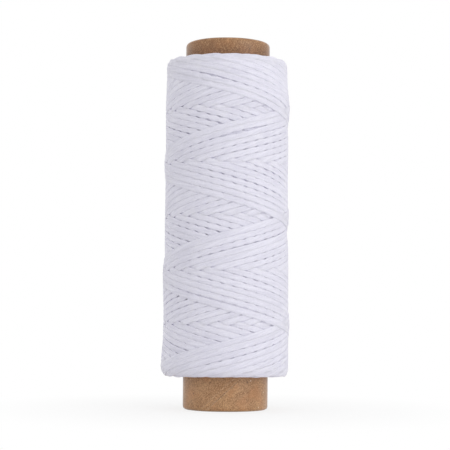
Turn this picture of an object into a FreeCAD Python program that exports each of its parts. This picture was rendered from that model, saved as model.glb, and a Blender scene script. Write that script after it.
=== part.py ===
import FreeCAD, Part
import math
import os

# Waxed thread cross wound on a spiral wound paper tube.
# Origin at the middle of the tube's lower end, +Z up along the tube.
# Lengths are in millimetres and angles in degrees.
# Every size down to the line "Sizes that follow" can be changed by itself.

# Paper tube: four strips wound and glued on top of each other, listed from the bore outwards
core_length = 75.0
core_bore_radius = 7.5
ply_thickness = 0.27
glue_line = 0.02
rim_rounding = 0.5
ply_names = ["core_liner_ply", "core_body_ply_inner", "core_body_ply_outer", "core_outer_ply"]

# Thread package: the bare tube below and above it, and how thick the thread is built up at each end.
# A shoulder is rounded by no more than its share of the ring's wall.
bare_core_below = 6.8
bare_core_above = 3.5
build_up_low = 4.26
build_up_high = 3.86
package_seat_gap = 0.05
shoulder_rounding = 0.7
shoulder_share = 0.85

# Outer winding: one thread laid to and fro along the package.
# A stroke goes down under the others or up over them, and turns round in a quarter turn at each end.
# A double stroke stops a quarter turn short of six turns, so each one lies beside the one before.
# The first half turn is left out, so that the thread's two ends don't meet.
thread_diameter = 1.0
thread_to_layers_gap = 0.3
crossing_gap = 0.48
end_step_low = 1.0
end_step_high = 1.0
double_strokes = 4
turns_per_double_stroke = 5.75
reversal_turn = 0.25
spans_per_stroke = 10
spans_left_out = 2
winding_start_angle = 120.0
least_self_gap = 0.4

# Sizes that follow
ply_pitch = ply_thickness + glue_line
core_radius = core_bore_radius + len(ply_names) * ply_pitch - glue_line
package_bottom = bare_core_below
package_top = core_length - bare_core_above
package_inner_radius = core_radius + package_seat_gap
level_step = thread_diameter + crossing_gap
wire_radius = thread_diameter / 2
lower_apex = package_bottom + end_step_low + wire_radius
upper_apex = package_top - end_step_high - wire_radius
stroke_turns = turns_per_double_stroke / 2
straight_turns = stroke_turns - reversal_turn
span_turns = straight_turns / spans_per_stroke
winding_lead = (upper_apex - lower_apex) / (straight_turns + reversal_turn / 2)


def on_axis(height):
    return FreeCAD.Vector(0, 0, height)


def ring(inner_radius, outer_radius, bottom, top):
    """A plain tube between two heights."""
    height = top - bottom
    outside = Part.makeCylinder(outer_radius, height, on_axis(bottom))
    return outside.cut(Part.makeCylinder(inner_radius, height, on_axis(bottom)))


def round_edges(shape, least_radius):
    """The circular edges of a shape that are wider than a radius."""
    circles = [edge for edge in shape.Edges if hasattr(edge.Curve, "Radius")]
    return [edge for edge in circles if edge.Curve.Radius > least_radius]


def core_envelope():
    """The whole tube as one ring, with the outer edge of each end worn round."""
    whole = ring(core_bore_radius, core_radius, 0, core_length)
    midway = (core_bore_radius + core_radius) / 2
    return whole.makeFillet(rim_rounding, round_edges(whole, midway))


def core_ply(index, envelope):
    """One glued strip of the tube. Its helical butt seam is closed, so it is a whole thin ring."""
    inner_radius = core_bore_radius + index * ply_pitch
    strip = ring(inner_radius, inner_radius + ply_thickness, 0, core_length)
    return strip.common(envelope)


def build_up(height):
    """Thread thickness over the tube, which tapers from the low end to the high end."""
    share = (height - package_bottom) / (package_top - package_bottom)
    return build_up_low + (build_up_high - build_up_low) * share


def outer_level(height):
    """Centre line radius of the strokes that climb, on top."""
    return core_radius + build_up(height) - wire_radius


def inner_level(height):
    """Centre line radius of the strokes that descend, under the others."""
    return outer_level(height) - level_step


def inner_layers():
    """The layers under the outer winding, as one ring with rounded shoulders."""
    below_thread = wire_radius + thread_to_layers_gap
    low_radius = inner_level(package_bottom) - below_thread
    high_radius = inner_level(package_top) - below_thread
    thinnest = min(low_radius, high_radius) - package_inner_radius
    corners = [
        (package_inner_radius, package_bottom),
        (low_radius, package_bottom),
        (high_radius, package_top),
        (package_inner_radius, package_top),
    ]
    outline = [FreeCAD.Vector(radius, 0, height) for radius, height in corners]
    face = Part.Face(Part.makePolygon(outline + outline[:1]))
    body = face.revolve(on_axis(0), on_axis(1), 360)
    rounding = min(shoulder_rounding, shoulder_share * thinnest)
    return body.makeFillet(rounding, round_edges(body, package_inner_radius + thinnest / 2))


def station(turn, height, climbing):
    """A point of the thread's centre line and the thread's direction there."""
    level = outer_level if climbing else inner_level
    rise = winding_lead if climbing else -winding_lead
    taper = (level(height + 1) - level(height)) * rise
    radius = level(height)
    angle = math.radians(winding_start_angle) + 2 * math.pi * turn
    outward = FreeCAD.Vector(math.cos(angle), math.sin(angle), 0)
    onward = FreeCAD.Vector(-math.sin(angle), math.cos(angle), 0)
    point = outward * radius + on_axis(height)
    direction = onward * (2 * math.pi * radius) + outward * taper + on_axis(rise)
    return point, direction.normalize()


def winding_stations():
    """Stations along every stroke, without the first ones and with the last turn round."""
    stations = []
    edge_rise = winding_lead * reversal_turn / 4
    for stroke in range(2 * double_strokes):
        climbing = stroke % 2 == 1
        start = upper_apex - edge_rise
        rise = -winding_lead
        if climbing:
            start = lower_apex + edge_rise
            rise = winding_lead
        for span in range(spans_per_stroke + 1):
            turned = span * span_turns
            turn = stroke * stroke_turns + reversal_turn / 2 + turned
            stations.append(station(turn, start + rise * turned, climbing))
    last_turn = 2 * double_strokes * stroke_turns + reversal_turn / 2
    stations.append(station(last_turn, upper_apex - edge_rise, False))
    return stations[spans_left_out:]


def arc_edge(start, direction, reach, end):
    """The arc that leaves start along direction and meets end, with equal tangents of length reach."""
    corner = start + direction * reach
    half_turn = direction.getAngle(end - corner) / 2
    weight = math.cos(half_turn)
    middle = (start + corner * (2 * weight) + end) * (0.5 / (1 + weight))
    return Part.Arc(start, middle, end).toShape()


def biarc(first, second):
    """Two arcs that join two stations and share their tangent where they meet."""
    start, leaving = first
    end, arriving = second
    across = end - start
    both = leaving + arriving
    square = 2 * (leaving.dot(arriving) - 1)
    linear = -2 * across.dot(both)
    constant = across.dot(across)
    reach = (-linear - math.sqrt(linear ** 2 - 4 * square * constant)) / (2 * square)
    joint = (start + end + (leaving - arriving) * reach) * 0.5
    middle_direction = (joint - (start + leaving * reach)).normalize()
    return [arc_edge(start, leaving, reach, joint), arc_edge(joint, middle_direction, reach, end)]


def winding_path():
    """The thread's centre line: biarcs between stations, and a straight end of one diameter at each end."""
    stations = winding_stations()
    first_point, first_direction = stations[0]
    last_point, last_direction = stations[-1]
    edges = [Part.makeLine(first_point - first_direction * thread_diameter, first_point)]
    for before, after in zip(stations, stations[1:]):
        edges += biarc(before, after)
    edges.append(Part.makeLine(last_point, last_point + last_direction * thread_diameter))
    return Part.Wire(edges)


def outer_winding(path):
    """One unbroken tube along the path."""
    start = path.Edges[0].Vertexes[0].Point
    direction = path.Edges[0].Vertexes[1].Point - start
    section = Part.Wire(Part.makeCircle(wire_radius, start, direction))
    return path.makePipeShell([section], True, False)


def self_gap(path):
    """Least clear distance between lengths of the thread that aren't neighbours along it."""
    step = 0.2
    cell = thread_diameter + 1.0
    apart = math.ceil(4 * thread_diameter / step)
    points = path.discretize(Distance=step)
    cells = {}
    least = cell
    for number, point in enumerate(points):
        key = (math.floor(point.x / cell), math.floor(point.y / cell), math.floor(point.z / cell))
        for dx in (-1, 0, 1):
            for dy in (-1, 0, 1):
                for dz in (-1, 0, 1):
                    for other in cells.get((key[0] + dx, key[1] + dy, key[2] + dz), []):
                        if number - other > apart:
                            least = min(least, point.distanceToPoint(points[other]))
        cells.setdefault(key, []).append(number)
    return least - thread_diameter


def write(shape, name):
    """Save one piece and print what it is."""
    solid = shape.Solids[0]
    box = solid.optimalBoundingBox(False, False)
    print(f"{name}: {len(shape.Solids)} solid, valid {shape.isValid()}, volume {solid.Volume:.1f} mm3, "
          f"{box.XLength:.2f} x {box.YLength:.2f} x {box.ZLength:.2f} mm, lowest {box.ZMin:.2f}")
    solid.exportStep(os.path.join("parts", name + ".step"))


def main():
    os.makedirs("parts", exist_ok=True)
    envelope = core_envelope()
    for index, name in enumerate(ply_names):
        write(core_ply(index, envelope), name)
    write(inner_layers(), "thread_inner_layers")
    path = winding_path()
    winding = outer_winding(path)
    write(winding, "thread_outer_winding")
    gap = self_gap(path)
    wide_enough = gap > least_self_gap
    ratio = winding.Volume / (math.pi * wire_radius ** 2 * path.Length)
    print(f"winding: lead {winding_lead:.2f} mm, length {path.Length:.0f} mm, "
          f"volume over section times length {ratio:.4f}")
    print(f"winding: least gap to itself {gap:.3f} mm, over {least_self_gap} mm: {wide_enough}")


main()
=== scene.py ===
import math

import bmesh
import bpy
import numpy as np
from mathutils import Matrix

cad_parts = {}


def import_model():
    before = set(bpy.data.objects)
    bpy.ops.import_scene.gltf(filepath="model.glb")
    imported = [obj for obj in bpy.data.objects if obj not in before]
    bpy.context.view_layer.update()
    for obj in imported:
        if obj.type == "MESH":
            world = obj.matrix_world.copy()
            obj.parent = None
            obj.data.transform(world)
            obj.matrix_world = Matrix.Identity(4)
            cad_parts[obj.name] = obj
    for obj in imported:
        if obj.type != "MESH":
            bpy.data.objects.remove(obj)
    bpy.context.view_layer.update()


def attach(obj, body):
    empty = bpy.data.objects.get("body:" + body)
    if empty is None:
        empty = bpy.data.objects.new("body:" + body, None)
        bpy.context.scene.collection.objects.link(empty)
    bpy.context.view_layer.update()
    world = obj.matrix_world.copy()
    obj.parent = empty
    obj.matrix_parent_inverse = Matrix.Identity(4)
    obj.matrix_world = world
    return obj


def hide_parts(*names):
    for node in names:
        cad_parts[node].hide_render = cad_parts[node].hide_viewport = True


# Waxed thread cross wound on a paper tube, lit and seen as in the photograph.
# Lengths are in metres. Places round the tube are in turns from the front, growing to the right.

mm = 0.001
full_turn = 2 * math.pi

# Paper tube: four glued strips, from the bore outwards, each wound with its edges butted
tube_length = 75.0 * mm
ply_thickness = 0.27 * mm
ply_pitch = 0.29 * mm
bore_radius = 7.5 * mm
tube_radius = bore_radius + 3 * ply_pitch + ply_thickness
strip_lead = 49.0 * mm
strip_slope = math.atan(strip_lead / (full_turn * tube_radius))
strip_width = strip_lead * math.cos(strip_slope)
seam_gap = 0.05 * mm

# A strip is wound over more turns than the tube needs, from some turns below its seam, and trimmed
strip_turns = 4
turns_below = 2
trim_tolerance = 1e-7
weld_distance = 0.002 * mm

# How finely a strip is divided: rows between its seam rows, steps in each turn, and cuts through its
# thickness
strip_rows = 46
strip_steps = 160
wall_cuts = 4
strip_smooth_angle = math.radians(50)

# Each strip's name, the node it replaces and the height of its seam at the front
paper_strips = [
    ("paper_strip_liner", "core_liner_ply", 30.0 * mm),
    ("paper_strip_body_inner", "core_body_ply_inner", 17.5 * mm),
    ("paper_strip_body_outer", "core_body_ply_outer", 5.05 * mm),
    ("paper_strip_outer", "core_outer_ply", 3.75 * mm),
]

# Worn rims: the outer edge's rounding, how far along the tube the wear reaches, how uneven the rounding
# is, and how far the rim is worn down. Each wave round the rim has a count, a height and a phase.
rim_rounding = 0.65 * mm
rim_reach = 1.6 * mm
rim_uneven = 0.05
rim_worn = 0.008 * mm
rim_waves = [(3, 1.0, 0.6), (8, 0.6, 2.1)]

# Seams: rows of vertices, as distances from the strip's edge. The edge itself is worn down, and the
# paper curls up a little beside it. Both are only on the strip's outer skin.
edge_rows = [0, 0.03 * mm, 0.07 * mm, 0.13 * mm, 0.22 * mm, 0.40 * mm, 0.70 * mm]
edge_wear = 0.035 * mm
edge_wear_reach = 0.05 * mm
edge_curl = 0.022 * mm
edge_curl_place = 0.22 * mm
edge_curl_reach = 0.14 * mm
edge_skin = 0.08 * mm

# Winding: a double stroke climbs once and falls once. It stops just short of six turns, so each strand
# lies beside the one before. The newest strand that climbs passes the front at a height of its own, and
# the last stroke stops a little before its end.
winding_low = 7.05 * mm
winding_high = 70.95 * mm
winding_height = winding_high - winding_low
strands_per_lead = 17.35
turns_per_double_stroke = 6 - 1 / strands_per_lead
turns_per_stroke = turns_per_double_stroke / 2
lead = winding_height / turns_per_stroke
last_stroke = 80
newest_climb_at_front = 56.5 * mm
climbed_at_front = (newest_climb_at_front - winding_low) / lead
turn_at_front = last_stroke * turns_per_double_stroke + climbed_at_front
stop_before_end = 0.12
last_turn = (last_stroke + 1) * turns_per_double_stroke - stop_before_end

# Turns round at the ends of a stroke: how round they are, in turns, and how far a turn lies from its
# place at random, over how many turns
turn_rounding_low = 0.025
turn_rounding_high = 0.024
end_scatter = 0.05 * mm
end_scatter_reach = 0.06
end_seed = 11

# The package's form: its radius, its ends, and its shoulders, of which the low one is rounder on the
# left. A shoulder stops at a share of its quarter circle.
radius_low = 12.88 * mm
radius_high = 12.55 * mm
package_bottom = winding_low - 0.3 * mm
package_top = winding_high + 0.4 * mm
shoulder_low = 1.5 * mm
shoulder_left = 0.65 * mm
shoulder_high = 1.6 * mm
shoulder_share = 0.97

# Layers that follow the shoulders, counted from the newest: the first fully, the others less and less
shoulder_layers = 1.6

# The lowest strands hang down at the sides, more at the left than at the right, and are lifted at the
# front and back. The highest ones stand higher at the sides. Both fade with the distance from the end.
low_sag = 0.35 * mm
low_sag_lift = 0.3
low_sag_lean = 0.25
high_rise = 0.22 * mm
sag_reach = 2.5 * mm

# Places where one side stands out or draws in: height, reach, how far out, and the turn from the
# front that the side faces
lopsided = [
    (9.8 * mm, 3.0 * mm, 0.32 * mm, -0.25),
    (24.4 * mm, 2.5 * mm, 0.18 * mm, -0.25),
    (31.0 * mm, 3.0 * mm, -0.10 * mm, -0.25),
    (61.0 * mm, 5.5 * mm, 0.15 * mm, -0.25),
    (70.5 * mm, 2.0 * mm, -0.12 * mm, -0.25),
    (36.5 * mm, 2.6 * mm, -0.30 * mm, 0.25),
    (46.0 * mm, 5.0 * mm, -0.10 * mm, 0.25),
    (58.5 * mm, 2.0 * mm, -0.16 * mm, 0.25),
    (62.6 * mm, 1.6 * mm, 0.24 * mm, 0.25),
    (68.6 * mm, 3.0 * mm, -0.20 * mm, 0.25),
]

# Layers: how many are laid as strands all round, how many in all have their turns at the ends, how
# thick one stroke's layer is, and how tall the bands at the ends are that show the older turns
layers_shown = 2
layers_in_all = 4.6
layer_step = 0.40 * mm
end_band = 3.2 * mm

# Crossings, in strands: half the way over which a strand rises from under the crossing ones to on top of
# them, and how far the middle of that way is shifted towards the newer ones
crossing_reach = 0.50
crossing_shift = 0.10

# The newest strands, which nothing covers, rise over a longer way, lie flatter and sink in. This holds
# for the last double strokes and fades over some more. Time is counted in double strokes.
newest_time = last_stroke + 0.75
newest_full = 0.5
newest_fade = 1.2
newest_reach = 0.55
newest_flatter = 0.35
newest_sunk = 0.45

# Near the package's ends the strands lie more evenly: by which share, and over what height
end_calm = 0.75
end_calm_reach = 2.6 * mm

# The strand's section: width, thickness, and the power of its outline (1 is an ellipse, less is
# squarer). The newest strands are thinner and rounder.
strand_width = 1.26 * mm
strand_thickness = 0.50 * mm
newest_thinner = 0.2
section_power = 0.45
newest_rounder = 0.3

# A strand is wider by these shares: at random, among the last strands over a number of double strokes,
# and near the package's ends
random_wider = 0.02
last_wider = 0.16
last_wider_reach = 1.9
end_wider = 0.12

# Pinches: where a strand passes between two crossing ones it is narrower and lies deeper. They show
# most at one turn from the front and keep a share on the far side. They start at a number of strands
# from where the strand comes on top, grow over some more, and fade near the package's ends. How strong
# they are comes and goes along the thread: a mean, a swing, its waves in each turn, and a random part.
pinch = 0.34
pinch_dip = 0.04 * mm
pinch_side = 0.03
pinch_far = 0.25
pinch_start = 0.9
pinch_growth = 1.2
pinch_end_reach = 1.5 * mm
pinch_mean = 0.55
pinch_swing = 0.35
pinch_waves = 1.3
pinch_random = 0.25

# A strand's small wander up and down: a step of its own, a slow sway and a fine one, with their waves in
# each turn and how far these vary. It eases off towards the ends, over a height.
own_step = 0.035 * mm
slow_sway = 0.03 * mm
slow_waves = 0.3
slow_waves_vary = 0.1
fine_sway = 0.018 * mm
fine_waves = 1.7
fine_waves_vary = 0.4
ease_reach = 3 * mm
wander_seed = 7
spare_draws = 8

# Strands that lie a little out of place: which one counted back from the newest, the turn from the
# front in the newest one's count, how far it is moved up, and over how many turns
moved_strands = [
    (1, -0.02, 0.03 * mm, 0.22),
    (1, -0.02, 0.20 * mm, 0.045),
    (2, -0.075, -0.28 * mm, 0.045),
    (0, 1.05, 0.07 * mm, 0.35),
    (1, 1.00, -0.06 * mm, 0.35),
    (2, 0.85, 0.06 * mm, 0.15),
    (3, 0.83, 0.02 * mm, 0.25),
    (1, 0.91, -0.08 * mm, 0.04),
    (2, 0.85, 0.12 * mm, 0.04),
    (1, -2.06, 0.09 * mm, 0.20),
    (0, 3.00, -0.09 * mm, 0.20),
    (1, 2.94, 0.11 * mm, 0.20),
    (2, 2.88, 0.06 * mm, 0.20),
    (3, 2.83, 0.03 * mm, 0.20),
]

# Thread end: over the last turns of its length it dives under its neighbours
tuck_length = 0.14
tuck_fall = 1.7 * mm
tuck_depth = 0.75 * mm

# How finely the strands are divided
stations_per_turn = 200
winding_lengths = 6
strand_sides = 12
turn_sides = 8
strand_smooth_angle = math.radians(60)

# Layers under the strands that show, as one ring. Its outer skin has the crossings in relief, and its
# finish repeats over the way round a strand.
below_radius = 11.1 * mm
below_low = 7.9 * mm
below_high = 70.0 * mm
below_relief = 0.15 * mm
below_skin = 0.1 * mm
below_seat_gap = 0.05 * mm
below_rounding = 0.6 * mm
below_columns = 256
below_cuts = 120
below_smooth_angle = math.radians(50)
strand_girth = 3.4 * mm

# Colours. A board has a dark, a light and a warm one.
thread_shade = (0.705, 0.693, 0.795, 1)
thread_light = (0.850, 0.838, 0.945, 1)
wax_smear = (0.83, 0.82, 0.905, 1)
kraft_colours = [(0.258, 0.118, 0.046, 1), (0.595, 0.346, 0.170, 1), (0.51, 0.230, 0.090, 1)]
grey_colours = [(0.23, 0.150, 0.090, 1), (0.44, 0.305, 0.195, 1), (0.38, 0.245, 0.145, 1)]
# Painted shade: the dark brown laid on the outer strip next to the thread
painted_thread_shade_brown = (0.13, 0.052, 0.018, 1)
dark_fleck = (0.10, 0.05, 0.03, 1)
pale_fleck = (0.82, 0.66, 0.48, 1)
frayed_paper = (0.62, 0.44, 0.29, 1)
board_sheen = (1.0, 0.93, 0.87, 1)
floor_grey = (0.88, 0.88, 0.88, 1)
white = (1, 1, 1, 1)

# Marks on the board: heights between which it is painted a little darker towards the top as shade, heights
# over which its outer strip is painted darker towards the thread as shade, the least radius of that strip,
# the frayed edge's width, and the place and width of a faint line beside the seam
top_painted_shade_start = 50 * mm
top_painted_shade_end = 74 * mm
painted_thread_shade_fade = 75.4 * mm
painted_thread_shade_full = 71.9 * mm
outer_strip_radius = tube_radius - ply_thickness - 0.01 * mm
fray_width = 0.35 * mm
ghost_place = 0.97 * mm
ghost_width = 0.22 * mm

# Floor: its size, how far it lies under the tube, the distances between which it fades into the
# background, and the share of plain white that it has near the object
floor_size = 6
floor_drop = 0.02 * mm
fade_start = 12 * mm
fade_end = 60 * mm
white_near = 0.80

# Light: the sky's strength, the lamps' size, the height on the axis that they face, and each lamp's
# name, place and power
sky_strength = 0.74
lamp_size = 0.5
lamp_aim = 0.04
lamps = [
    ("lamp_right", (0.67, -0.53, 0.22), 2.15),
    ("lamp_left", (-0.60, -0.65, 0.25), 0.4),
    ("lamp_top", (0.05, -0.15, 0.75), 0.1),
]

# Camera: its place, how far it looks up and leans over in radians, its lens and sensor, and the least
# distance that it sees
camera_place = (-0.00018, -0.2807, 0.02034)
camera_up = 0.0614
camera_lean = -0.0083
camera_lens = 109.43
camera_sensor = 36
camera_nearest = 0.01


def deselect():
    bpy.ops.object.select_all(action="DESELECT")


def choose(piece):
    """Select one piece only and make it the active one."""
    deselect()
    piece.select_set(True)
    bpy.context.view_layer.objects.active = piece


def edit(piece):
    """Enter edit mode on one piece, with all of it selected."""
    choose(piece)
    bpy.ops.object.mode_set(mode="EDIT")
    bpy.ops.mesh.select_all(action="SELECT")
    return bmesh.from_edit_mesh(piece.data)


def leave_edit():
    bpy.ops.object.mode_set(mode="OBJECT")


def smooth(piece, angle):
    """Shade a piece smooth, except over edges sharper than an angle."""
    choose(piece)
    bpy.ops.object.shade_smooth_by_angle(angle=angle)


def shape(piece, kind, **settings):
    """Add a modifier and apply it."""
    modifier = piece.modifiers.new(kind.lower(), kind)
    for name, value in settings.items():
        setattr(modifier, name, value)
    bpy.context.view_layer.objects.active = piece
    bpy.ops.object.modifier_apply(modifier=modifier.name)


def name_piece(piece, name):
    """Name a new piece and its mesh, and apply its placing."""
    piece.name = name
    piece.data.name = name
    bpy.ops.object.transform_apply(location=True, rotation=True, scale=True)


def corners(piece):
    """The places of a piece's vertices."""
    places = np.empty(3 * len(piece.data.vertices))
    piece.data.vertices.foreach_get("co", places)
    return places.reshape(-1, 3)


def move_corners(piece, places):
    piece.data.vertices.foreach_set("co", places.ravel())
    piece.data.update()


def face_corners(piece):
    """The vertex of each face corner."""
    vertex = np.empty(len(piece.data.loops), dtype=int)
    piece.data.loops.foreach_get("vertex_index", vertex)
    return vertex


def smooth_step(share):
    """0 up to no share, 1 from a whole share on, smooth in between."""
    share = np.clip(share, 0, 1)
    return share * share * (3 - 2 * share)


def bell(distance, reach):
    """1 at no distance, and falling off over a reach."""
    return np.exp(-(distance / reach) ** 2)


def turn_of(places):
    """How far round from the front each place is, from -0.5 to 0.5 turn."""
    return np.arctan2(places[:, 0], -places[:, 1]) / full_turn


def map_along(piece, places):
    """Give a piece the UV map that its finish follows, from a place for each face corner."""
    along = piece.data.uv_layers.new(name="along")
    along.data.foreach_set("uv", places.astype(np.float32).ravel())


# Paper tube


def strip_map(strip, seam):
    """Unroll a strip: metres along it and metres across it from its edge, for each face corner."""
    mesh = strip.data
    places = corners(strip)
    vertex = face_corners(strip)
    sizes = np.empty(len(mesh.polygons), dtype=int)
    mesh.polygons.foreach_get("loop_total", sizes)
    centres = np.empty(3 * len(mesh.polygons))
    mesh.polygons.foreach_get("center", centres)
    centres = centres.reshape(-1, 3)
    middle = turn_of(centres)
    wound = np.floor((centres[:, 2] - seam) / strip_lead - middle)
    middle = np.repeat(middle, sizes)
    turn = turn_of(places)[vertex]
    turn = turn + np.round(middle - turn) + np.repeat(wound, sizes)
    above = places[vertex, 2] - seam - strip_lead * turn
    along = turn * full_turn * tube_radius / math.cos(strip_slope) + above * math.sin(strip_slope)
    return np.stack([along, above * math.cos(strip_slope)], 1)


def rim_fall(radius, turn):
    """How far the tube's end is worn down at a radius."""
    share = np.clip((radius - (tube_radius - rim_rounding)) / rim_rounding, 0, 1)
    uneven = sum(tall * np.sin(full_turn * count * turn + phase) for count, tall, phase in rim_waves)
    tallest = sum(tall for _, tall, _ in rim_waves)
    rounded = rim_rounding * (1 - np.sqrt(1 - share ** 2)) * (1 + rim_uneven * uneven)
    return rounded + rim_worn * (tallest + uneven)


def wear(strip, seam, outer_radius):
    """Round the tube's outer edge at both ends, and wear the strip's edges along its seam."""
    places = corners(strip)
    radius = np.hypot(places[:, 0], places[:, 1])
    turn = turn_of(places)
    height = places[:, 2].copy()
    low = np.clip(1 - height / rim_reach, 0, 1)
    high = np.clip(1 - (tube_length - height) / rim_reach, 0, 1)
    places[:, 2] = height + rim_fall(radius, turn) * (low - high)
    across = (height - seam) / strip_lead - turn
    from_edge = np.abs(across - np.round(across)) * strip_lead - seam_gap / 2
    worn = edge_wear * bell(from_edge, edge_wear_reach)
    curled = edge_curl * bell(from_edge - edge_curl_place, edge_curl_reach)
    outside = np.clip(1 - (outer_radius - radius) / edge_skin, 0, 1)
    grown = 1 + outside * (curled - worn) / radius
    places[:, :2] = places[:, :2] * grown[:, None]
    move_corners(strip, places)


def standing_edge(name, radius, low, width):
    """A vertical chain of edges at the front, with closer rows beside both of its ends."""
    bpy.ops.mesh.primitive_plane_add(
        size=width,
        location=(width / 2, -radius, low + width / 2),
        rotation=(math.pi / 2, 0, 0),
    )
    chain = bpy.context.object
    name_piece(chain, name)
    bm = edit(chain)
    bpy.ops.mesh.select_all(action="DESELECT")
    for vert in bm.verts:
        vert.select_set(vert.co.x > width / 2)
    bmesh.update_edit_mesh(chain.data)
    bpy.ops.mesh.delete(type="VERT")
    bpy.ops.mesh.select_all(action="SELECT")
    middle_rows = np.linspace(edge_rows[-1], width - edge_rows[-1], strip_rows + 2)[1:-1]
    rows = edge_rows + list(middle_rows) + [width - row for row in reversed(edge_rows)]
    bpy.ops.mesh.subdivide(number_cuts=len(rows) - 2)
    bm = bmesh.from_edit_mesh(chain.data)
    for vert, row in zip(sorted(bm.verts, key=lambda vert: vert.co.z), rows):
        vert.co.z = low + row
    bmesh.update_edit_mesh(chain.data)
    leave_edit()
    return chain


def trim(height, **side):
    """Cut a strip off at a height and leave what is left of it selected."""
    bpy.ops.mesh.bisect(plane_co=(0, 0, height), plane_no=(0, 0, 1), threshold=trim_tolerance, **side)
    bpy.ops.mesh.select_all(action="SELECT")


def paper_strip(number, name, seam):
    """One strip: a standing edge wound up a spiral, trimmed at the tube's ends and given its thickness."""
    inner_radius = bore_radius + number * ply_pitch
    outer_radius = inner_radius + ply_thickness
    low = seam - turns_below * strip_lead + seam_gap / 2
    strip = standing_edge(name, inner_radius, low, strip_lead - seam_gap)
    shape(
        strip, "SCREW", axis="Z", angle=full_turn, screw_offset=strip_lead, iterations=strip_turns,
        steps=strip_steps, render_steps=strip_steps,
    )
    edit(strip)
    trim(0, clear_inner=True)
    trim(tube_length, clear_outer=True)
    bpy.ops.mesh.remove_doubles(threshold=weld_distance)
    bpy.ops.mesh.normals_make_consistent(inside=False)
    bpy.ops.mesh.extrude_region()
    grown = outer_radius / inner_radius
    bpy.ops.transform.resize(value=(grown, grown, 1), center_override=(0, 0, 0))

    # Only the edges that run through the thickness are cut
    bm = bmesh.from_edit_mesh(strip.data)
    bpy.ops.mesh.select_all(action="DESELECT")
    for edge in bm.edges:
        across = [math.hypot(vert.co.x, vert.co.y) for vert in edge.verts]
        edge.select_set(abs(across[0] - across[1]) > ply_thickness / 2)
    bmesh.update_edit_mesh(strip.data)
    bpy.ops.mesh.subdivide(number_cuts=wall_cuts)
    leave_edit()

    wear(strip, seam, outer_radius)
    map_along(strip, strip_map(strip, seam))
    smooth(strip, strip_smooth_angle)
    return strip


# Winding


def strand_draws(seed, columns):
    """Seeded random numbers from -1 to 1, one row for each half of a double stroke."""
    rows = 2 * last_stroke + spare_draws
    return np.random.default_rng(seed).uniform(-1, 1, (rows, columns))


def facing(turn, place):
    """1 at a place round the package, falling to 0 on its far side."""
    return 0.5 + 0.5 * np.cos(full_turn * (turn - turn_at_front - place))


def shoulder(height, low):
    """How far the package draws in at a height, and how far its surface leans towards its ends.

    The size of the low shoulder is given, because it differs round the package.
    """
    above = np.clip((height - (package_top - shoulder_high)) / shoulder_high, 0, shoulder_share)
    below = np.clip((package_bottom + low - height) / low, 0, shoulder_share)
    drop = (shoulder_high * (1 - np.sqrt(1 - above ** 2))
            + low * (1 - np.sqrt(1 - below ** 2)))
    lean = np.arcsin(above) - np.arcsin(below)
    return drop, lean


def stroke_height(from_top, from_low):
    """Height over the winding's low end, by the turns from a stroke's ends, which are rounded."""
    top_round = np.sqrt(from_top ** 2 + turn_rounding_high ** 2)
    low_round = np.sqrt(from_low ** 2 + turn_rounding_low ** 2)
    return lead * np.where(from_top < from_low, turns_per_stroke - top_round, low_round)


def wander(turn, offset, sway, phase, pace, fine):
    """How far up a strand lies from its place."""
    slow = np.sin(full_turn * (turn * (slow_waves + slow_waves_vary * pace) + phase))
    quick = np.sin(full_turn * (turn * (fine_waves + fine_waves_vary * pace) + fine))
    moved = own_step * offset + slow_sway * sway * slow + fine_sway * quick
    for number, place, move, reach in moved_strands:
        here = turn_at_front + place - number * turns_per_double_stroke
        moved = moved + move * bell(turn - here, reach)
    return moved


def crossed_by(turn, height, time, climbing):
    """How many strands ago the crossing one that passes here was laid, counted within one lead."""
    climb_phase = strands_per_lead * (height / lead - turn)
    fall_phase = -strands_per_lead * (height / lead + turn) - 0.5
    return np.mod(time - np.where(climbing, fall_phase, climb_phase), strands_per_lead)


def sawtooth(gap, reach):
    """A strand sinks while newer strands cross it and rises where it comes on top: 0 down to -1."""
    risen = smooth_step((gap + crossing_shift + reach) / (2 * reach))
    return -gap / strands_per_lead - (1 - risen)


def package_radius(turn, height, z):
    """The radius of the outermost layer, which tapers upwards and stands out or draws in at places."""
    radius = radius_low + (radius_high - radius_low) * height / winding_height
    for place, reach, out, faces in lopsided:
        radius = radius + out * facing(turn, faces) * bell(z - place, reach)
    return radius


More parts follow.
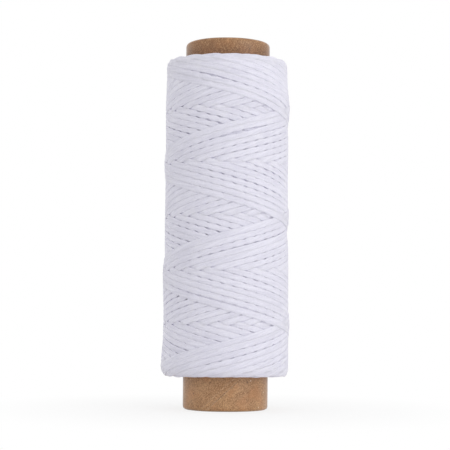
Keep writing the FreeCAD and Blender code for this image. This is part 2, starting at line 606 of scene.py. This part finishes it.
class Line:
    """Centre line of a length of thread: its place, lean and section at each station."""

    def __init__(self, start, stop, stations):
        count = int(round((stop - start) * stations)) + 1
        turn = np.linspace(start, stop, count)
        stroke = np.floor(turn / turns_per_double_stroke)
        within = turn - stroke * turns_per_double_stroke
        climbing = within < turns_per_stroke
        from_top = np.abs(within - turns_per_stroke)
        from_low = np.minimum(within, turns_per_double_stroke - within)
        height = stroke_height(from_top, from_low)
        from_ends = np.minimum(height, winding_height - height)

        # Small irregularities, seeded for each stroke and for each turn round
        row = (2 * stroke + np.where(climbing, 0, 1)).astype(int)
        offset, sway, phase, pace, fine, breadth = strand_draws(wander_seed, 6)[row].T
        ease = np.clip(from_ends / ease_reach, 0, 1)
        height = height + wander(turn, offset, sway, phase, pace, fine) * ease
        end_row = np.round(turn / turns_per_stroke).astype(int)
        scattered = strand_draws(end_seed, 1)[end_row, 0]
        height = height + end_scatter * scattered * bell(np.minimum(from_top, from_low), end_scatter_reach)

        # The level that a strand lies on among the others, in layer steps
        time = np.where(climbing, stroke, stroke + 0.5)
        over = crossed_by(turn, height, time, climbing)
        gap = np.where(over > strands_per_lead / 2, over - strands_per_lead, over)
        strokes_back = newest_time - time
        age = strokes_back / strands_per_lead
        newest = np.exp(-np.maximum(strokes_back - newest_full, 0) / newest_fade)
        calm = end_calm * smooth_step(1 - from_ends / end_calm_reach)
        lying = sawtooth(gap, crossing_reach + newest_reach * newest)
        lying = -0.5 + (lying + 0.5) * (1 - calm) * (1 - newest_flatter * newest)
        level = 0.5 - 2 * age + lying - newest_sunk * newest

        # Pinches between the crossing strands
        beside = smooth_step((np.abs(gap) - pinch_start) / pinch_growth)
        swing = pinch_swing * np.sin(full_turn * (turn * pinch_waves + phase))
        uneven = pinch_mean + swing + pinch_random * pace
        pinched = (0.5 - 0.5 * np.cos(full_turn * over)) ** 3 * beside * np.clip(uneven, 0, 1)
        pinched = pinched * np.clip(from_ends / pinch_end_reach, 0, 1)
        pinched = pinched * (pinch_far + (1 - pinch_far) * facing(turn, pinch_side) ** 2)

        # The place on the package, with its shoulders, its sagging ends and the tucked thread end
        tuck = smooth_step((turn - last_turn + tuck_length) / tuck_length)
        z = winding_low + height - tuck_fall * tuck
        side = np.sin(full_turn * (turn - turn_at_front))
        drop, lean = shoulder(z, shoulder_low + shoulder_left * (0.5 - 0.5 * side) ** 2)
        hanging = side ** 2 - low_sag_lift - low_sag_lean * side
        z = z - low_sag * hanging * np.exp(-height / sag_reach)
        z = z + high_rise * side ** 2 * np.exp(-(winding_height - height) / sag_reach)
        outer = np.clip(shoulder_layers - age, 0, 1)

        self.turn = turn - turn_at_front
        self.radius = package_radius(turn, height, z) + layer_step * level - drop * outer
        self.radius = self.radius - tuck_depth * tuck - pinch_dip * pinched
        self.height = z
        self.lean = lean * outer
        merged = bell(strokes_back, last_wider_reach)
        wider = random_wider * breadth + last_wider * merged + end_wider * (1 - ease)
        self.width = strand_width * (1 + wider - pinch * pinched)
        self.thickness = strand_thickness * (1 - newest_thinner * newest)
        self.power = section_power + newest_rounder * newest

    def cut(self, keep):
        """The stretches of the line where keep is true."""
        edges = np.flatnonzero(np.diff(keep.astype(int))) + 1
        for run in np.split(np.arange(len(keep)), edges):
            if keep[run[0]] and len(run) > 3:
                part = object.__new__(Line)
                for name, values in vars(self).items():
                    setattr(part, name, values[run])
                yield part


def section(line, sides):
    """How far each corner of the strand's section is to the side and up, at each station."""
    corner = full_turn * (np.arange(sides) + 0.5) / sides - math.pi / 2
    power = line.power[:, None]
    across = np.sign(np.cos(corner)) * np.abs(np.cos(corner)) ** power * line.width[:, None] / 2
    up = np.sign(np.sin(corner)) * np.abs(np.sin(corner)) ** power * line.thickness[:, None] / 2
    return across, up


def ribbon(line, sides):
    """Points, faces and UV places of a flattened strand along a line."""
    angle = full_turn * line.turn
    outward = np.stack([np.sin(angle), -np.cos(angle), np.zeros_like(angle)], 1)
    point = outward * line.radius[:, None]
    point[:, 2] = line.height
    upward = outward * np.cos(line.lean)[:, None]
    upward[:, 2] = np.sin(line.lean)
    along = np.gradient(point, axis=0)
    length = np.linalg.norm(along, axis=1)
    along = along / length[:, None]
    side = np.cross(upward, along)
    side = side / np.linalg.norm(side, axis=1)[:, None]
    normal = np.cross(along, side)
    across, up = section(line, sides)
    points = point[:, None] + side[:, None] * across[:, :, None] + normal[:, None] * up[:, :, None]
    rings = len(line.turn)
    index = np.arange(rings * sides).reshape(rings, sides)
    turned = np.roll(index, -1, axis=1)
    faces = np.stack([index[:-1], turned[:-1], turned[1:], index[1:]], 2).reshape(-1, 4)
    run = np.cumsum(length)
    before = np.broadcast_to(run[:-1, None], (rings - 1, sides))
    after = np.broadcast_to(run[1:, None], (rings - 1, sides))
    start = np.broadcast_to(np.arange(sides) / sides, (rings - 1, sides))
    end = start + 1 / sides
    places = np.stack([before, start, before, end, after, end, after, start], 2)
    return points.reshape(-1, 3), faces, places.reshape(-1, 2), index


def strands(name, lines, sides):
    """One mesh of the strands along the lines, closed at their ends."""
    points = []
    faces = []
    places = []
    count = 0
    for line in lines:
        strand_points, strand_faces, strand_places, index = ribbon(line, sides)
        points.append(strand_points)
        faces += (strand_faces + count).tolist()
        places.append(strand_places)
        faces.append((index[0][::-1] + count).tolist())
        faces.append((index[-1] + count).tolist())
        places.append(np.zeros((2 * sides, 2)))
        count += len(strand_points)
    mesh = bpy.data.meshes.new(name)
    mesh.from_pydata(np.concatenate(points).tolist(), [], faces)
    piece = bpy.data.objects.new(name, mesh)
    bpy.context.scene.collection.objects.link(piece)
    map_along(piece, np.concatenate(places))
    smooth(piece, strand_smooth_angle)
    return piece


def winding_pieces():
    """The outer layers in a few lengths, and the turns round of the layers under them at both ends."""
    first_shown = (last_stroke - layers_shown * strands_per_lead) * turns_per_double_stroke
    first = (last_stroke - layers_in_all * strands_per_lead) * turns_per_double_stroke
    pieces = []
    cuts = np.linspace(first_shown, last_turn, winding_lengths + 1)
    for number, (start, stop) in enumerate(zip(cuts, cuts[1:]), 1):
        line = Line(start, stop, stations_per_turn)
        pieces.append(strands(f"thread_winding_{number}", [line], strand_sides))
    inner = Line(first, first_shown, stations_per_turn)
    high = inner.height > winding_high - end_band
    low = inner.height < winding_low + end_band
    turns_high = strands("thread_turns_high", list(inner.cut(high)), turn_sides)
    turns_low = strands("thread_turns_low", list(inner.cut(low)), turn_sides)
    return pieces, [turns_high, turns_low]


def layers_below():
    """The layers under the strands that show, as one ring with the crossings in relief."""
    bpy.ops.mesh.primitive_cylinder_add(
        vertices=below_columns,
        radius=below_radius,
        depth=below_high - below_low,
        end_fill_type="NOTHING",
        location=(0, 0, (below_high + below_low) / 2),
    )
    body = bpy.context.object
    name_piece(body, "thread_layers_below")

    # Only the upright edges are cut
    bm = edit(body)
    bpy.ops.mesh.select_all(action="DESELECT")
    for edge in bm.edges:
        edge.select_set(abs(edge.verts[0].co.z - edge.verts[1].co.z) > mm)
    bmesh.update_edit_mesh(body.data)
    bpy.ops.mesh.subdivide(number_cuts=below_cuts)
    leave_edit()

    shape(body, "SOLIDIFY", thickness=below_radius - tube_radius - below_seat_gap, offset=-1)
    shape(
        body, "BEVEL", width=below_rounding, segments=3, limit_method="ANGLE",
        angle_limit=math.radians(60),
    )

    places = corners(body)
    turn = turn_of(places)
    radius = np.hypot(places[:, 0], places[:, 1])
    climb = strands_per_lead * ((places[:, 2] - winding_low) / lead - turn)
    fall = strands_per_lead * ((places[:, 2] - winding_low) / lead + turn)
    raised = np.maximum(np.cos(full_turn * climb), np.cos(full_turn * fall))
    outside = radius > below_radius - below_skin
    grown = 1 + np.where(outside, below_relief * (raised - 1), 0) / radius
    places[:, :2] = places[:, :2] * grown[:, None]
    move_corners(body, places)
    unrolled = np.stack([turn * full_turn * below_radius, places[:, 2] / strand_girth], 1)
    map_along(body, unrolled[face_corners(body)])
    smooth(body, below_smooth_angle)
    return body


# Finishes


class Value:
    """A number, colour or vector that varies over a surface. Arithmetic on it adds Math nodes."""

    def __init__(self, finish, socket):
        self.finish = finish
        self.socket = socket

    def math(self, operation, *operands):
        return self.finish.node("ShaderNodeMath", {"operation": operation}, dict(enumerate(operands)))

    def __add__(self, other):
        return self.math("ADD", self, other)

    def __radd__(self, other):
        return self.math("ADD", other, self)

    def __sub__(self, other):
        return self.math("SUBTRACT", self, other)

    def __rsub__(self, other):
        return self.math("SUBTRACT", other, self)

    def __mul__(self, other):
        return self.math("MULTIPLY", self, other)

    def __rmul__(self, other):
        return self.math("MULTIPLY", other, self)

    def __pow__(self, other):
        return self.math("POWER", self, other)

    def __abs__(self):
        return self.math("ABSOLUTE", self)

    def __gt__(self, other):
        return self.math("GREATER_THAN", self, other)

    def __lt__(self, other):
        return self.math("LESS_THAN", self, other)

    def between(self, low, high):
        """0 at low, 1 at high, smooth in between and flat beyond both."""
        return self.finish.node(
            "ShaderNodeMapRange",
            {"interpolation_type": "SMOOTHSTEP", "clamp": True},
            {"Value": self, "From Min": low, "From Max": high, "To Min": 0.0, "To Max": 1.0},
        )

    def parts(self):
        """The three numbers of a vector."""
        made = self.finish.tree.nodes.new("ShaderNodeSeparateXYZ")
        self.finish.feed(made.inputs[0], self)
        return [Value(self.finish, socket) for socket in made.outputs]


def new_material(name):
    material = bpy.data.materials.new(name)
    material.use_nodes = True
    return material


class Finish:
    """The nodes of a material, or of the world's light."""

    def __init__(self, owner, shader):
        self.tree = owner.node_tree
        self.shader = self.tree.nodes[shader]

    def feed(self, socket, value):
        if isinstance(value, Value):
            self.tree.links.new(value.socket, socket)
        else:
            socket.default_value = value

    def node(self, kind, settings, inputs, output=0):
        """Add a node: its settings first, then the values or links of its sockets."""
        made = self.tree.nodes.new(kind)
        for setting, value in settings.items():
            setattr(made, setting, value)
        for name, value in inputs.items():
            self.feed(made.inputs[name], value)
        return Value(self, made.outputs[output])

    def vector(self, x, y, z):
        return self.node("ShaderNodeCombineXYZ", {}, {0: x, 1: y, 2: z})

    def noise(self, place, scale, detail, roughness):
        """Noise over a place. The scale is about how many spots it has in each unit of the place."""
        return self.node("ShaderNodeTexNoise", {}, {
            "Vector": place, "Scale": scale, "Detail": detail, "Roughness": roughness})

    def mix(self, share, first, second):
        """A colour between two, by share."""
        made = self.tree.nodes.new("ShaderNodeMix")
        made.data_type = "RGBA"
        self.feed(made.inputs["Factor"], share)
        for name, colour in (("A", first), ("B", second)):
            socket = [s for s in made.inputs if s.name == name and s.type == "RGBA"][0]
            self.feed(socket, colour)
        return Value(self, [s for s in made.outputs if s.type == "RGBA"][0])

    def bump(self, height, strength, distance):
        return self.node("ShaderNodeBump", {}, {
            "Height": height, "Strength": strength, "Distance": distance})

    def surface(self, **values):
        """Set or link the shader's own sockets."""
        for name, value in values.items():
            self.feed(self.shader.inputs[name.replace("_", " ")], value)

    def output_mix(self, output, share, white_shader):
        """Show the owner's shader, and by share plain white in its place."""
        plain = self.node(white_shader, {}, {"Color": white, "Strength": 1.0})
        own = Value(self, self.shader.outputs[0])
        mixed = self.node("ShaderNodeMixShader", {}, {0: share, 1: own, 2: plain})
        self.tree.links.new(mixed.socket, self.tree.nodes[output].inputs["Surface"])


def thread_finish():
    """Waxed thread: filaments along the strand, a soft sheen and thin smears of wax."""
    material = new_material("waxed thread")
    finish = Finish(material, "Principled BSDF")
    along, around, _ = finish.node("ShaderNodeUVMap", {"uv_map": "along"}, {}).parts()
    place = finish.node("ShaderNodeTexCoord", {}, {}, "Object")

    # Filaments and their bundles slant a little round the strand
    fine_twist = finish.vector(along * 420.0, around * 46.0 + along * 900.0, 0.0)
    coarse_twist = finish.vector(along * 110.0, around * 13.0 + along * 260.0, 4.0)
    filaments = finish.noise(fine_twist, 1.0, 3.0, 0.6)
    bundles = finish.noise(coarse_twist, 1.0, 2.0, 0.5)
    slubs = finish.noise(finish.vector(along * 70.0, 0.0, 9.0), 1.0, 2.0, 0.5)
    wax = finish.noise(place, 420.0, 4.0, 0.6)
    grain = finish.noise(place, 3600.0, 3.0, 0.65)

    lightness = (filaments * 0.35 + bundles * 0.30 + slubs * 0.15 + grain * 0.20).between(0.38, 0.62)
    thread = finish.mix(lightness, thread_shade, thread_light)
    waxed = finish.mix(wax.between(0.52, 0.72) * 0.5, thread, wax_smear)
    relief = filaments * 0.5 + bundles * 0.8 + grain * 0.6
    finish.surface(
        Base_Color=waxed,
        Roughness=0.62 - wax.between(0.45, 0.7) * 0.2,
        Normal=finish.bump(relief, 0.55, 0.05 * mm),
        Subsurface_Weight=0.3,
        Subsurface_Radius=(1, 1, 1),
        Subsurface_Scale=0.4 * mm,
        Sheen_Weight=0.08,
        Sheen_Roughness=0.5,
    )
    return material


def board_finish(name, dark, light, warm):
    """Board: speckled fibres, blotches, warmer places, painted shade near the top and above the thread,
    dark and pale flecks, and frayed edges.
    """
    material = new_material(name)
    finish = Finish(material, "Principled BSDF")
    along, across, _ = finish.node("ShaderNodeUVMap", {"uv_map": "along"}, {}).parts()
    x, y, height = finish.node("ShaderNodeTexCoord", {}, {}, "Object").parts()
    radius = (x * x + y * y) ** 0.5
    sheet = finish.vector(along, across, radius)
    laid = finish.vector(along * 0.5, across, radius)

    # The board's own tone, and painted shade that makes it a little darker towards the top
    blotches = finish.noise(laid, 260.0, 3.0, 0.55)
    tints = finish.noise(sheet, 330.0, 2.0, 0.5)
    clouds = finish.noise(sheet, 1200.0, 3.0, 0.6)
    speckle = finish.noise(sheet, 3800.0, 2.0, 0.7)
    fibres = finish.noise(laid, 5200.0, 3.0, 0.65)
    tone = blotches * 0.14 + clouds * 0.10 + speckle * 0.38 + fibres * 0.18 + 0.10
    # Painted shade: the board is a little darker towards the tube's top
    tone = tone - height.between(top_painted_shade_start, top_painted_shade_end) * 0.03
    board = finish.mix(tone.between(0.40, 0.61), dark, light)
    board = finish.mix(tints.between(0.50, 0.66) * 0.35, board, warm)

    # Painted shade on the outer strip above the thread, deepening down towards it, in speckled strength
    painted_thread_shade = height.between(painted_thread_shade_fade, painted_thread_shade_full) * (height > tube_length / 2)
    painted_thread_shade_strength = 0.40 + speckle.between(0.60, 0.42) * 0.28
    board = finish.mix(painted_thread_shade * (radius > outer_strip_radius) * painted_thread_shade_strength, board, painted_thread_shade_brown)

    # Flecks
    cells = {"Vector": sheet, "Scale": 1100.0}
    from_middle = finish.node("ShaderNodeTexVoronoi", {}, cells, "Distance")
    pick, other, _ = finish.node("ShaderNodeTexVoronoi", {}, cells, "Color").parts()
    dark_flecks = from_middle.between(0.30, 0.14) * (pick > 0.94)
    pale_flecks = from_middle.between(0.22, 0.10) * (other > 0.95) * (pick < 0.94)
    board = finish.mix(dark_flecks * 0.6, board, dark_fleck)
    board = finish.mix(pale_flecks * 0.8, board, pale_fleck)

    # The strip's frayed edges, and a faint line beside its seam
    edge = across.between(fray_width, 0.0) + across.between(strip_width - fray_width, strip_width)
    ghost = abs(across - ghost_place).between(ghost_width, 0.0)
    frayed = (edge + ghost * 0.8) * speckle.between(0.40, 0.60)
    board = finish.mix(frayed * 0.45, board, frayed_paper)

    relief = fibres * 0.6 + speckle * 0.5 + clouds * 0.5 - ghost * 0.4
    finish.surface(
        Base_Color=board,
        Roughness=0.58 - blotches * 0.2,
        Normal=finish.bump(relief, 0.5, 0.03 * mm),
        Sheen_Weight=0.85,
        Sheen_Roughness=0.3,
        Sheen_Tint=board_sheen,
    )
    return material


# Floor, light and camera


def camera_rays(finish):
    """1 where a ray comes from the camera or a reflection, and 0 where it only carries light."""
    seen = [finish.node("ShaderNodeLightPath", {}, {}, name)
            for name in ("Is Camera Ray", "Is Glossy Ray", "Is Transmission Ray")]
    return seen[0] + seen[1] + seen[2]


def lay_floor():
    """A white floor that shows the shadow near the object and fades into the background."""
    bpy.ops.mesh.primitive_plane_add(size=floor_size, location=(0, 0, -floor_drop))
    floor = bpy.context.object
    floor.name = "floor"
    material = new_material("white floor")
    finish = Finish(material, "Principled BSDF")
    finish.surface(Base_Color=floor_grey, Roughness=0.9)
    x, y, _ = finish.node("ShaderNodeTexCoord", {}, {}, "Object").parts()
    fade = ((x * x + y * y) ** 0.5).between(fade_start, fade_end)
    share = camera_rays(finish) * (white_near + fade * (1 - white_near))
    finish.output_mix("Material Output", share, "ShaderNodeEmission")
    floor.data.materials.append(material)


def light_world():
    """Even light from all round, with a white background for the camera."""
    world = bpy.data.worlds.new("studio")
    world.use_nodes = True
    bpy.context.scene.world = world
    finish = Finish(world, "Background")
    finish.surface(Color=white, Strength=sky_strength)
    finish.output_mix("World Output", camera_rays(finish), "ShaderNodeBackground")


def add_object(name, data, place):
    """Put a lamp or camera into the scene."""
    added = bpy.data.objects.new(name, data)
    bpy.context.scene.collection.objects.link(added)
    added.location = place
    return added


def add_lamps():
    for name, place, power in lamps:
        lamp_data = bpy.data.lights.new(name, "AREA")
        lamp_data.size = lamp_size
        lamp_data.energy = power
        lamp = add_object(name, lamp_data, place)
        towards = lamp.location.copy()
        towards.z -= lamp_aim
        lamp.rotation_euler = towards.to_track_quat("Z", "Y").to_euler()


def add_camera():
    camera_data = bpy.data.cameras.new("camera")
    camera_data.lens = camera_lens
    camera_data.sensor_width = camera_sensor
    camera_data.clip_start = camera_nearest
    camera = add_object("camera", camera_data, camera_place)
    camera.rotation_euler = (math.pi / 2 + camera_up, camera_lean, 0)
    bpy.context.scene.camera = camera
    bpy.context.scene.view_settings.view_transform = "Standard"


def main():
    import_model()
    deselect()

    kraft = board_finish("kraft paper", *kraft_colours)
    grey_board = board_finish("grey board", *grey_colours)
    for number, (name, node, seam) in enumerate(paper_strips):
        strip = paper_strip(number, name, seam)
        strip.data.materials.append(grey_board if "body" in name else kraft)
        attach(strip, "root")
        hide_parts(node)

    thread = thread_finish()
    outer, turns = winding_pieces()
    inner = turns + [layers_below()]
    for pieces, node in ((outer, "thread_outer_winding"), (inner, "thread_inner_layers")):
        for piece in pieces:
            piece.data.materials.append(thread)
            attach(piece, "root")
            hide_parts(node)

    lay_floor()
    light_world()
    add_lamps()
    add_camera()


main()
